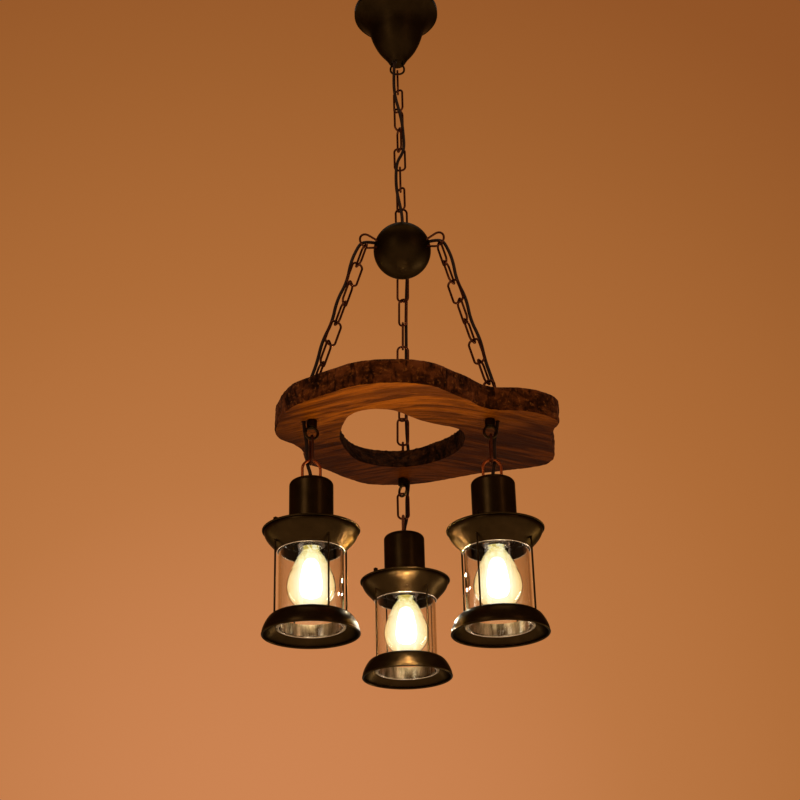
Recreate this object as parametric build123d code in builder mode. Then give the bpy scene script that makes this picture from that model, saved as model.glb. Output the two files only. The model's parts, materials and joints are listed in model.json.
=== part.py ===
from build123d import *
import os
from math import cos, hypot, pi, radians, sin, sqrt, tan

# A wooden slab chandelier that hangs on chains from a ceiling canopy, with three small hurricane lanterns.
# Millimetres. The origin is the middle of the canopy on the ceiling, +Z is up, and the viewer stands at -Y.

# Chain: wire thickness, inner length of a link, inner width, and the corner radius of the wire's middle line
CHAIN_WIRE = 3.0
LINK_PITCH = 34.2
LINK_INNER_WIDTH = 12.0
LINK_CORNER = 6.0
LINK_LINE_LENGTH = LINK_PITCH + CHAIN_WIRE
# Gap left where one moving piece hangs on another
HANG_GAP = 0.3

# Cable: one round black cable everywhere, and the hole that it passes tightly
CABLE_DIAMETER = 4.5
CABLE_BORE = 2.4
# An arc of a cable takes this share of the shorter run beside it
ARC_SHARE = 0.45

# Canopy: a bell of sheet metal with a short upright lip at the ceiling and a flat floor
CANOPY_HEIGHT = 97.0
CANOPY_LIP_RADIUS = 62.6
CANOPY_LIP_HEIGHT = 7.0
CANOPY_WALL = 1.2
CANOPY_FLOOR_RADIUS = 11.0
BELL = [(13.0, -93.5), (16.8, -86.5), (22.6, -78.0), (27.8, -70.0), (32.7, -60.0), (36.6, -50.0), (39.5, -40.0)]
BELL += [(43.3, -30.0), (49.8, -20.0), (56.4, -12.0), (61.6, -7.0)]
BUSH_SPOT = (-4.2, -5.4)
BUSH_RADIUS = 3.4
BUSH_BORE = 2.6
BUSH_FLANGE_RADIUS = 3.9
BUSH_FLANGE_HEIGHT = 1.2

# Bracket on the ceiling, its ears, slots and rim screws, and the terminal block under it
BRACKET_HALF_LENGTH = 59.4
BRACKET_WIDTH = 20.0
BRACKET_THICKNESS = 2.0
EAR_WIDTH = 14.0
EAR_DEPTH = 6.5
SLOT_SPACING = 70.0
SLOT_LENGTH = 16.0
SLOT_WIDTH = 5.4
WIRE_HOLE_RADIUS = 5.0
RIM_SCREW_RADIUS = 1.5
RIM_SCREW_HEAD_RADIUS = 2.8
RIM_SCREW_Z = -3.6
BLOCK_SIZE = (24.0, 18.0, 16.0)
BLOCK_SPOT = (0.0, -5.0)

# Canopy loop: a bent wire whose legs come together to pass the canopy's floor
LOOP_WIRE = 3.0
LOOP_LEG = 7.6
LOOP_HALF_WIDTH = 10.0
LOOP_WIRE_Z = -116.0
NUT_RADIUS = 2.9
NUT_HEIGHT = 2.4

# Ball and its loops
BALL_Z = -420.0
BALL_RADIUS = 40.0
BALL_WALL = 1.5
BALL_LIP = 1.7
HUB_LOOP_HALF_WIDTH = 7.8
HUB_LOOP_WIRE_Z = -351.8
HUB_LOOP_END_Z = -386.0
SIDE_RING_OUT = 56.0
SIDE_RING_RADIUS = 10.5
SIDE_LEG_START = (36.0, 4.5)
SIDE_LEG_TURN = 108.1
SLEEVE_RADIUS = 2.6
SPLICE_RADIUS = 13.0
SPLICE_Z = (-420.0, -406.0)
SPLICE_CABLE_Z = -413.0
POST_RADIUS = 4.0

# Slab: its underside's height, thickness, tilt about Y, and how far its hanging centre is off the axis
SLAB_UNDER_Z = -709.6
SLAB_THICKNESS = 32.0
SLAB_TILT = 1.26
SLAB_SHIFT = (-7.5, 0.1)
SLAB_EDGE = 2.0
# Corners of the slab's outline and of its hole, from the hanging centre; the hole widens upwards at the back
OUTLINE = [(-128.6, -117.1), (-107, -134), (-81, -152.5), (-57, -167.6), (-32.4, -174.4), (-0.6, -176.1)]
OUTLINE += [(26.9, -171.8), (49.8, -159.1), (69.5, -140), (88.2, -122.3), (103.6, -104.4), (113.8, -98.2)]
OUTLINE += [(140, -94.8), (174.2, -85.2), (203.3, -50.9), (197.9, -28.9), (197, -12.9), (201.8, 26.7)]
OUTLINE += [(205.2, 63.3), (196.8, 83.5), (172.5, 95.5), (150.5, 102.3), (103.2, 116), (66.5, 132.7)]
OUTLINE += [(37.5, 146), (9.2, 153.4), (-19.8, 154.8), (-49, 150.5), (-70.6, 135.2), (-90.4, 116.5)]
OUTLINE += [(-108.3, 94.4), (-126.4, 79.9), (-132, 64.7), (-135.8, 25.8), (-141.5, 14.3), (-157.6, -4.1)]
OUTLINE += [(-164.6, -25.4), (-160, -55), (-145, -95)]
HOLE_BELOW = [(-79, -18), (-75.7, -39), (-70, -64), (-55, -89), (-33, -97.5), (-13, -95), (12, -74.5)]
HOLE_BELOW += [(44.6, -51), (73, -36), (81, 0), (72, 36), (50, 63), (15, 84), (-25, 84), (-57, 65), (-73, 28)]
HOLE_ABOVE = [(-81, -12), (-77, -37), (-70, -64), (-55, -89), (-33, -97.5), (-13, -95), (12, -74.5)]
HOLE_ABOVE += [(44.6, -51), (73, -32), (80, 10), (70, 48), (45, 76), (12, 100.5), (-26, 104), (-64, 84), (-80, 42)]

# Three arms of chain, by their direction from the ball, and the side of each chain on which its cable runs
HANG_RADIUS = 130.6
ARMS = {"left": 210.0, "back": 90.0, "right": 330.0}
CABLE_SIDE = {"left": -1.0, "back": -1.0, "right": 1.0}
# How each link of an arm is turned about its chain, from facing outward, so that no link touches the cable
LINK_TURNS = {
    "left": (90.0, 0.0, 135.0, 90.0, 0.0, 135.0, 90.0),
    "back": (90.0, 135.0, 0.0, 90.0, 0.0, 135.0, 90.0),
    "right": (135.0, 90.0, 0.0, 135.0, 90.0, 0.0, 90.0),
}
CABLE_HOLE_OFFSET = {"left": (8.0, 8.0), "back": (8.0, 8.0), "right": (6.0, 10.0)}
CABLE_HOLE_RADIUS = 3.0
CABLE_AT_BALL = 7.0

# Screw eyes: a bolt with a ring above the slab, and a nut with a ring below it
EYE_WIRE = 3.4
EYE_RADIUS = 8.0
SHANK_RADIUS = 3.0
SHANK_END = -5.0
SHOULDER_RADIUS = 6.5
SHOULDER_HEIGHT = 3.0
EYE_NUT_HEIGHT = 9.5
EYE_NUT_BORE_DEPTH = 6.0
LOWER_EYE_DROP = 17.5

# Lantern heights above its rim, and radii
SHEET = 1.0
SKIRT = [(59.0, 1.4), (59.0, 4.0), (58.0, 8.0), (56.0, 13.0), (53.5, 17.5), (50.5, 21.5), (47.0, 24.0)]
SKIRT += [(42.5, 25.5)]
SKIRT_BEAD = (58.2, 1.4)
CUP_RADIUS = 41.5
CUP_LIP_RADIUS = 38.4
CUP_DEPTH_Z = 10.2
GLASS_RADIUS = 40.0
GLASS_WALL = 2.5
GLASS_TOP = 118.0
BOWL = [(41.0, 105.0), (43.2, 108.0), (46.5, 112.0), (50.2, 116.0), (53.6, 120.0), (56.4, 124.5), (58.0, 129.0)]
BOWL += [(58.0, 131.8)]
PLATE_BOTTOM = 131.8
PLATE_RADIUS = 59.4
PLATE_BEAD = 1.1
PLATE_HOLE_RADIUS = 20.5
ROD_CIRCLE = 48.0
ROD_RADIUS = 1.2
ROD_HEAD_RADIUS = 2.2
ROD_HEAD_HEIGHT = 1.5
ROD_BOTTOM = 18.7
TALL_ROD_TOP = 143.2
ROD_NUT_RADIUS = 3.2
ROD_NUT_HEIGHT = 9.4
CAP_RADIUS = 27.6
CAP_BEAD = 0.9
CAP_BOTTOM = PLATE_BOTTOM + SHEET
CAP_TOP = 197.5
CAP_CORNER = 6.0
CAP_LOOP_WIRE = 3.5
CAP_LOOP_HALF_WIDTH = 11.5
CAP_LOOP_RISE = 28.5
NIPPLE_RADIUS = 5.0
NIPPLE_BORE = 2.6
NIPPLE_FLANGE = (7.0, 4.0)
NIPPLE_BOTTOM = 160.0
HOLDER_TUBE = (17.0, 13.6, 112.5)
HOLDER_BODY = (19.5, 165.0)
HOLDER_FLANGE = (24.0, 1.2)
HOLDER_BOSS = (8.0, 170.0)
SOCKET_TOP = 138.0
BULB = [(0.0, 30.0), (11.5, 32.3), (21.2, 38.8), (27.7, 48.5), (30.0, 60.0), (28.3, 71.0), (24.0, 82.0)]
BULB += [(18.8, 93.0), (14.8, 102.0), (12.5, 110.0), (12.5, 117.0)]
BULB_WALL = 0.8
BASE_RADIUS = 13.2
BASE_BOTTOM = 109.5
BASE_TOP = 131.0
CONTACT_RADIUS = 5.0
CABLE_END = 187.0

# How each lantern's rods, its arch, and the link and the eye above it are turned, and where its cable runs
TURNS = {
    "left": {"rods": 29.7, "arch": 15.0, "link": 105.0, "eye": 15.0, "cable": 150.0},
    "back": {"rods": 36.3, "arch": 85.0, "link": 5.0, "eye": 130.0, "cable": 45.0},
    "right": {"rods": 59.3, "arch": 5.0, "link": 95.0, "eye": 5.0, "cable": 50.0},
}

os.makedirs("parts", exist_ok=True)


def write(piece, name):
    """Label a finished piece and write its file."""
    piece.label = name
    export_step(piece, f"parts/{name}.step")


def inset(points, wall):
    """The points of a profile moved square to it, to its left, by the wall's thickness."""
    moved = []
    for i, (r, z) in enumerate(points):
        before = points[max(i - 1, 0)]
        after = points[min(i + 1, len(points) - 1)]
        along_r = after[0] - before[0]
        along_z = after[1] - before[1]
        length = hypot(along_r, along_z)
        moved.append((max(r - along_z / length * wall, 0.0), z + along_r / length * wall))
    return moved


def spun_sheet(outer, wall):
    """A sheet shell turned about Z from a profile of (radius, height), its wall on the profile's left."""
    inner = inset(outer, wall)
    with BuildPart() as made:
        with BuildSketch(Plane.XZ):
            with BuildLine():
                Spline(*outer)
                Line(outer[-1], inner[-1])
                Spline(*reversed(inner))
                Line(inner[0], outer[0])
            make_face()
        revolve(axis=Axis.Z)
    return made.part


def swept_wire(path, diameter):
    """A round wire along a path."""
    with BuildPart() as made:
        with BuildSketch(Plane(origin=path @ 0, z_dir=path % 0)):
            Circle(diameter / 2)
        sweep(path=path)
    return made.part


def place_link(top, direction, width):
    """Where a link lies whose top wire is at a point, given the row's direction and that of the link's width."""
    return Plane(top + direction * LINK_LINE_LENGTH / 2, x_dir=direction, z_dir=direction.cross(width))


def cable_along(points, name):
    """A round cable whose straight runs are joined by wide arcs."""
    spots = [Vector(*point) for point in points]
    radii = []
    for a, b, c in zip(spots, spots[1:], spots[2:]):
        half_turn = radians((b - a).get_angle(c - b)) / 2
        radii.append(ARC_SHARE * min((b - a).length, (c - b).length) / tan(half_turn))
    with BuildLine() as route:
        FilletPolyline(*spots, radius=radii)
    path = route.wire()
    cable = swept_wire(path, CABLE_DIAMETER)
    expected = pi * CABLE_DIAMETER**2 / 4 * path.length
    print(name, "radii", [round(r) for r in radii], "volume", round(cable.volume), "of", round(expected))
    return cable


# Ceiling bracket: a strap along Y with two turned-down ears
with BuildPart() as ceiling_bracket:
    with BuildSketch():
        Rectangle(BRACKET_WIDTH, 2 * BRACKET_HALF_LENGTH - 12)
        Rectangle(EAR_WIDTH, 2 * BRACKET_HALF_LENGTH)
        with Locations((0, SLOT_SPACING / 2), (0, -SLOT_SPACING / 2)):
            SlotOverall(SLOT_LENGTH, SLOT_WIDTH, rotation=90, mode=Mode.SUBTRACT)
        with Locations((0, 14.0)):
            Circle(WIRE_HOLE_RADIUS, mode=Mode.SUBTRACT)
    extrude(amount=-BRACKET_THICKNESS)
    for side in (1, -1):
        with Locations((0, side * (BRACKET_HALF_LENGTH - BRACKET_THICKNESS / 2), -EAR_DEPTH / 2)):
            Box(EAR_WIDTH, BRACKET_THICKNESS, EAR_DEPTH)
    with Locations(Location((0, 0, RIM_SCREW_Z), (90, 0, 0))):
        Cylinder(RIM_SCREW_RADIUS, 2 * BRACKET_HALF_LENGTH, mode=Mode.SUBTRACT)
write(ceiling_bracket.part, "ceiling_bracket")

# Canopy: one profile turned about Z, with holes for the loop's legs, the bush and the rim screws
bell_inside = inset(BELL, CANOPY_WALL)
with BuildPart() as canopy:
    with BuildSketch(Plane.XZ):
        with BuildLine():
            Polyline((0, -CANOPY_HEIGHT), (CANOPY_FLOOR_RADIUS, -CANOPY_HEIGHT), BELL[0])
            Spline(*BELL)
            lip_inside = CANOPY_LIP_RADIUS - CANOPY_WALL
            Polyline(
                BELL[-1],
                (CANOPY_LIP_RADIUS, -CANOPY_LIP_HEIGHT),
                (CANOPY_LIP_RADIUS, 0),
                (lip_inside, 0),
                bell_inside[-1],
            )
            Spline(*reversed(bell_inside))
            floor_top = CANOPY_WALL - CANOPY_HEIGHT
            Polyline(bell_inside[0], (CANOPY_FLOOR_RADIUS, floor_top), (0, floor_top))
            Line((0, floor_top), (0, -CANOPY_HEIGHT))
        make_face()
    revolve(axis=Axis.Z)
    with Locations((LOOP_LEG, 0, -CANOPY_HEIGHT), (-LOOP_LEG, 0, -CANOPY_HEIGHT)):
        Cylinder(LOOP_WIRE / 2 + 0.1, 4, mode=Mode.SUBTRACT)
    with Locations((BUSH_SPOT[0], BUSH_SPOT[1], -CANOPY_HEIGHT)):
        Cylinder(BUSH_RADIUS + 0.1, 4, mode=Mode.SUBTRACT)
    with Locations(Location((0, 0, RIM_SCREW_Z), (90, 0, 0))):
        Cylinder(RIM_SCREW_RADIUS + 0.2, 3 * CANOPY_LIP_RADIUS, mode=Mode.SUBTRACT)
write(canopy.part, "canopy")

# Canopy screws: pan heads on the lip's outside, shanks into the bracket's ears
with BuildPart() as canopy_screws:
    for turn in (90, -90):
        facing_out = Location((0, 0, RIM_SCREW_Z), (0, 0, turn))
        with Locations(facing_out * Location((CANOPY_LIP_RADIUS, 0, 0), (0, 90, 0))):
            Cylinder(RIM_SCREW_HEAD_RADIUS, 1.8, align=(Align.CENTER, Align.CENTER, Align.MIN))
            Cylinder(RIM_SCREW_RADIUS - 0.02, 7.0, align=(Align.CENTER, Align.CENTER, Align.MAX))
write(canopy_screws.part, "canopy_screws")

# Terminal block under the strap, bored for the cable, with three clamp screws on its front
with BuildPart() as terminal_block:
    with Locations((BLOCK_SPOT[0], BLOCK_SPOT[1], -BRACKET_THICKNESS)):
        Box(*BLOCK_SIZE, align=(Align.CENTER, Align.CENTER, Align.MAX))
    with Locations((BUSH_SPOT[0], BUSH_SPOT[1], -BRACKET_THICKNESS - BLOCK_SIZE[2])):
        Cylinder(CABLE_BORE, 16, mode=Mode.SUBTRACT)
    with Locations(Location((BLOCK_SPOT[0], BLOCK_SPOT[1] - BLOCK_SIZE[1] / 2, -10), (90, 0, 0))):
        with GridLocations(7.5, 1, 3, 1):
            Cylinder(2.2, 3, mode=Mode.SUBTRACT)
write(terminal_block.part, "terminal_block")

# Canopy loop: up one leg, round the bottom and down the other
with BuildLine(Plane.XZ) as loop_line:
    FilletPolyline(
        (-LOOP_LEG, -91.5),
        (-LOOP_LEG, -99.0),
        (-LOOP_HALF_WIDTH, -105.0),
        (-LOOP_HALF_WIDTH, LOOP_WIRE_Z),
        (LOOP_HALF_WIDTH, LOOP_WIRE_Z),
        (LOOP_HALF_WIDTH, -105.0),
        (LOOP_LEG, -99.0),
        (LOOP_LEG, -91.5),
        radius=[3.0, 3.0, 7.5, 7.5, 3.0, 3.0],
    )
canopy_loop = swept_wire(loop_line.wire(), LOOP_WIRE)
write(canopy_loop, "canopy_loop")

# Nuts on the loop's legs, on the canopy's floor
with BuildPart() as loop_nuts:
    with BuildSketch(Plane.XY.offset(CANOPY_WALL - CANOPY_HEIGHT)):
        with Locations((LOOP_LEG, 0), (-LOOP_LEG, 0)):
            RegularPolygon(NUT_RADIUS, 6)
            Circle(LOOP_WIRE / 2 + 0.02, mode=Mode.SUBTRACT)
    extrude(amount=NUT_HEIGHT)
write(loop_nuts.part, "loop_nuts")

# Bush in the canopy's floor
with BuildPart() as cable_bush:
    with Locations((BUSH_SPOT[0], BUSH_SPOT[1], -CANOPY_HEIGHT)):
        Cylinder(BUSH_FLANGE_RADIUS, BUSH_FLANGE_HEIGHT, align=(Align.CENTER, Align.CENTER, Align.MAX))
        Cylinder(BUSH_RADIUS, 3.0, align=(Align.CENTER, Align.CENTER, Align.MIN))
        Cylinder(BUSH_BORE, 10, mode=Mode.SUBTRACT)
write(cable_bush.part, "cable_bush")

# One chain link round the origin, its length along X and its width along Y
with BuildSketch() as link_outline:
    RectangleRounded(LINK_LINE_LENGTH, LINK_INNER_WIDTH + CHAIN_WIRE, LINK_CORNER)
chain_link = swept_wire(link_outline.face().outer_wire(), CHAIN_WIRE)

# Main chain: the top link hangs in the canopy loop, and the other six hang on it, each turned about the chain
DOWN = Vector(0, 0, -1)
TOP_LINK_TURN = 90.0
MAIN_TURNS = (145.0, 220.0, 290.0, 0.0, 90.0, 135.0)
top_link_top = Vector(0, 0, LOOP_WIRE_Z + (LOOP_WIRE + CHAIN_WIRE) / 2 + HANG_GAP)
top_width = Vector(cos(radians(TOP_LINK_TURN)), sin(radians(TOP_LINK_TURN)))
top_link = place_link(top_link_top, DOWN, top_width) * chain_link
write(top_link, "top_link")
swing_front = Vector(0, 0, LOOP_WIRE_Z)
swing_side = top_link_top + DOWN * LINK_LINE_LENGTH
main_links = []
for count, turn in enumerate(MAIN_TURNS):
    link_top = swing_side + Vector(0, 0, CHAIN_WIRE + HANG_GAP) + DOWN * count * LINK_PITCH
    main_links.append(place_link(link_top, DOWN, Vector(cos(radians(turn)), sin(radians(turn)))) * chain_link)
write(Compound(children=main_links), "main_chain")
print("swing_front", swing_front, "swing_side", swing_side, "last link bottom", link_top.Z - LINK_LINE_LENGTH)

# Ball loops: an arch on top, and three pear-shaped eyes on the equator, each with sleeves on its ends inside
with BuildLine(Plane.XZ) as arch_line:
    FilletPolyline(
        (-HUB_LOOP_HALF_WIDTH, HUB_LOOP_END_Z),
        (-HUB_LOOP_HALF_WIDTH, HUB_LOOP_WIRE_Z),
        (HUB_LOOP_HALF_WIDTH, HUB_LOOP_WIRE_Z),
        (HUB_LOOP_HALF_WIDTH, HUB_LOOP_END_Z),
        radius=HUB_LOOP_HALF_WIDTH - 0.3,
    )
arch_wire = swept_wire(arch_line.wire(), CHAIN_WIRE)
with BuildPart() as hub_loop:
    add(arch_wire)
    with Locations((HUB_LOOP_HALF_WIDTH, 0, HUB_LOOP_END_Z), (-HUB_LOOP_HALF_WIDTH, 0, HUB_LOOP_END_Z)):
        Cylinder(SLEEVE_RADIUS, 2.0, align=(Align.CENTER, Align.CENTER, Align.MIN))
write(hub_loop.part, "hub_loop")

leg_x = SIDE_RING_OUT + SIDE_RING_RADIUS * cos(radians(SIDE_LEG_TURN))
leg_z = SIDE_RING_RADIUS * sin(radians(SIDE_LEG_TURN))
with BuildLine(Plane.XZ) as eye_line:
    Line((SIDE_LEG_START[0], -SIDE_LEG_START[1]), (leg_x, -leg_z))
    ThreePointArc((leg_x, -leg_z), (SIDE_RING_OUT + SIDE_RING_RADIUS, 0), (leg_x, leg_z))
    Line((leg_x, leg_z), SIDE_LEG_START)
eye_wire = swept_wire(eye_line.wire(), CHAIN_WIRE)
leg_slope = Vector(leg_x - SIDE_LEG_START[0], 0, leg_z - SIDE_LEG_START[1]).normalized()
with BuildPart() as side_loop:
    add(eye_wire)
    for up in (1, -1):
        leg_foot = (SIDE_LEG_START[0], 0, up * SIDE_LEG_START[1])
        with Locations(Plane(leg_foot, z_dir=(leg_slope.X, 0, up * leg_slope.Z))):
            Cylinder(SLEEVE_RADIUS, 1.6, align=(Align.CENTER, Align.CENTER, Align.MIN))
side_loop_places = {arm: Location((0, 0, BALL_Z), (0, 0, turn)) for arm, turn in ARMS.items()}
write(Compound(children=[place * side_loop.part for place in side_loop_places.values()]), "side_loops")

# Ball: two half shells; the lower one has a lip inside the upper; both are cut for the loops and cables
with BuildPart() as loop_cuts:
    with Locations((HUB_LOOP_HALF_WIDTH, 0, HUB_LOOP_END_Z), (-HUB_LOOP_HALF_WIDTH, 0, HUB_LOOP_END_Z)):
        Cylinder(CHAIN_WIRE / 2 + 0.1, 16)
    for place in side_loop_places.values():
        for up in (1, -1):
            leg_foot = (SIDE_LEG_START[0], 0, up * SIDE_LEG_START[1])
            leg_start = Plane(leg_foot, z_dir=(leg_slope.X, 0, up * leg_slope.Z))
            with Locations(place * leg_start.location):
                Cylinder(CHAIN_WIRE / 2 + 0.1, 12)
with BuildPart() as hub_upper:
    with Locations((0, 0, BALL_Z)):
        Sphere(BALL_RADIUS, arc_size1=0, align=(Align.CENTER, Align.CENTER, Align.MIN))
        Sphere(BALL_RADIUS - BALL_WALL, mode=Mode.SUBTRACT)
    add(loop_cuts.part, mode=Mode.SUBTRACT)
    with Locations((1.3, -8.65, BALL_Z + BALL_RADIUS)):
        Cylinder(CABLE_HOLE_RADIUS, 12, mode=Mode.SUBTRACT)
    for arm, turn in ARMS.items():
        spot = Location((BALL_RADIUS, CABLE_SIDE[arm] * CABLE_AT_BALL, 5.6), (0, 90, 0))
        with Locations(Location((0, 0, BALL_Z), (0, 0, turn)) * spot):
            Cylinder(CABLE_BORE + 0.1, 20, mode=Mode.SUBTRACT)
write(hub_upper.part, "hub_upper")
with BuildPart() as hub_lower:
    with Locations((0, 0, BALL_Z)):
        Sphere(BALL_RADIUS, arc_size2=0, align=(Align.CENTER, Align.CENTER, Align.MAX))
        Sphere(BALL_RADIUS - BALL_WALL, mode=Mode.SUBTRACT)
    with BuildSketch(Plane.XY.offset(BALL_Z)):
        Circle(BALL_RADIUS - BALL_WALL / 2)
        Circle(BALL_RADIUS - 2 * BALL_WALL, mode=Mode.SUBTRACT)
    extrude(amount=-BALL_LIP)
    with BuildSketch(Plane.XY.offset(BALL_Z - BALL_LIP)):
        Circle(BALL_RADIUS - BALL_WALL - 0.1)
        Circle(BALL_RADIUS - 2 * BALL_WALL, mode=Mode.SUBTRACT)
    extrude(amount=2 * BALL_LIP)
    add(loop_cuts.part, mode=Mode.SUBTRACT)
write(hub_lower.part, "hub_lower")

# Splice inside the ball: a round block on a post, bored for the cable from above and for the three others
with BuildPart() as wire_splice:
    with Locations((0, 0, SPLICE_Z[0])):
        Cylinder(SPLICE_RADIUS, SPLICE_Z[1] - SPLICE_Z[0], align=(Align.CENTER, Align.CENTER, Align.MIN))
        Cylinder(POST_RADIUS, BALL_RADIUS - BALL_WALL - 0.25, align=(Align.CENTER, Align.CENTER, Align.MAX))
    with Locations((1.4, -8.4, SPLICE_Z[1])):
        Cylinder(CABLE_BORE + 0.2, 9.0, mode=Mode.SUBTRACT)
    for arm, turn in ARMS.items():
        spot = Location((10, CABLE_SIDE[arm] * CABLE_AT_BALL, SPLICE_CABLE_Z - BALL_Z), (0, 90, 0))
        with Locations(Location((0, 0, BALL_Z), (0, 0, turn)) * spot):
            Cylinder(CABLE_BORE + 0.1, 8, mode=Mode.SUBTRACT)
write(wire_splice.part, "wire_splice")

# Main cable: from the terminal block through the bush, then weaving down in front of the chain into the ball
MAIN_CABLE = [(-4.2, -5.4, -10.3), (-4.2, -5.3, -50.0), (-4.2, -5.4, -98.0), (-5.4, -4.4, -122.0)]
MAIN_CABLE += [(-5.8, -3.8, -146.0), (-3.0, -6.0, -168.0), (0.5, -6.4, -184.0), (4.6, -3.6, -205.0)]
MAIN_CABLE += [(5.8, -2.4, -222.0)]
MAIN_CABLE += [(7.0, -4.4, -248.0), (3.6, -7.2, -263.0), (-3.0, -6.4, -274.0), (-5.8, -5.0, -288.0)]
MAIN_CABLE += [(-6.2, -3.4, -317.0), (-3.4, -5.6, -338.0), (-0.5, -7.5, -356.0), (1.2, -8.6, -370.0)]
MAIN_CABLE += [(1.4, -8.7, -389.5), (1.4, -8.4, -408.5)]
main_cable = cable_along(MAIN_CABLE, "main_cable")
write(main_cable, "main_cable")

# Slab: the underside's plane, tilted a little, with the outline extruded up and the hole cut through
slab = Plane(
    origin=(SLAB_SHIFT[0], SLAB_SHIFT[1], SLAB_UNDER_Z),
    x_dir=(cos(radians(SLAB_TILT)), 0, -sin(radians(SLAB_TILT))),
    z_dir=(sin(radians(SLAB_TILT)), 0, cos(radians(SLAB_TILT))),
)
outward = {arm: Vector(cos(radians(turn)), sin(radians(turn))) for arm, turn in ARMS.items()}
sideways = {arm: outward[arm].rotate(Axis.Z, 90) * CABLE_SIDE[arm] for arm in ARMS}
eye_spots = {arm: outward[arm] * HANG_RADIUS for arm in ARMS}
hole_spots = {
    arm: eye_spots[arm] + outward[arm] * CABLE_HOLE_OFFSET[arm][0] + sideways[arm] * CABLE_HOLE_OFFSET[arm][1]
    for arm in ARMS
}
with BuildPart() as slab_hole:
    with BuildSketch(slab):
        with BuildLine():
            Spline(*HOLE_BELOW, periodic=True)
        make_face()
    with BuildSketch(slab.offset(SLAB_THICKNESS)):
        with BuildLine():
            Spline(*HOLE_ABOVE, periodic=True)
        make_face()
    loft()
with BuildPart() as wood_slab:
    with BuildSketch(slab):
        with BuildLine():
            Spline(*OUTLINE, periodic=True)
        make_face()
    extrude(amount=SLAB_THICKNESS)
    add(slab_hole.part, mode=Mode.SUBTRACT)
    with BuildSketch(slab):
        for arm in ARMS:
            with Locations(eye_spots[arm]):
                Circle(SHANK_RADIUS + 0.1)
            with Locations(hole_spots[arm]):
                Circle(CABLE_HOLE_RADIUS)
    extrude(amount=SLAB_THICKNESS, mode=Mode.SUBTRACT)
write(wood_slab.part, "wood_slab")

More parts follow.
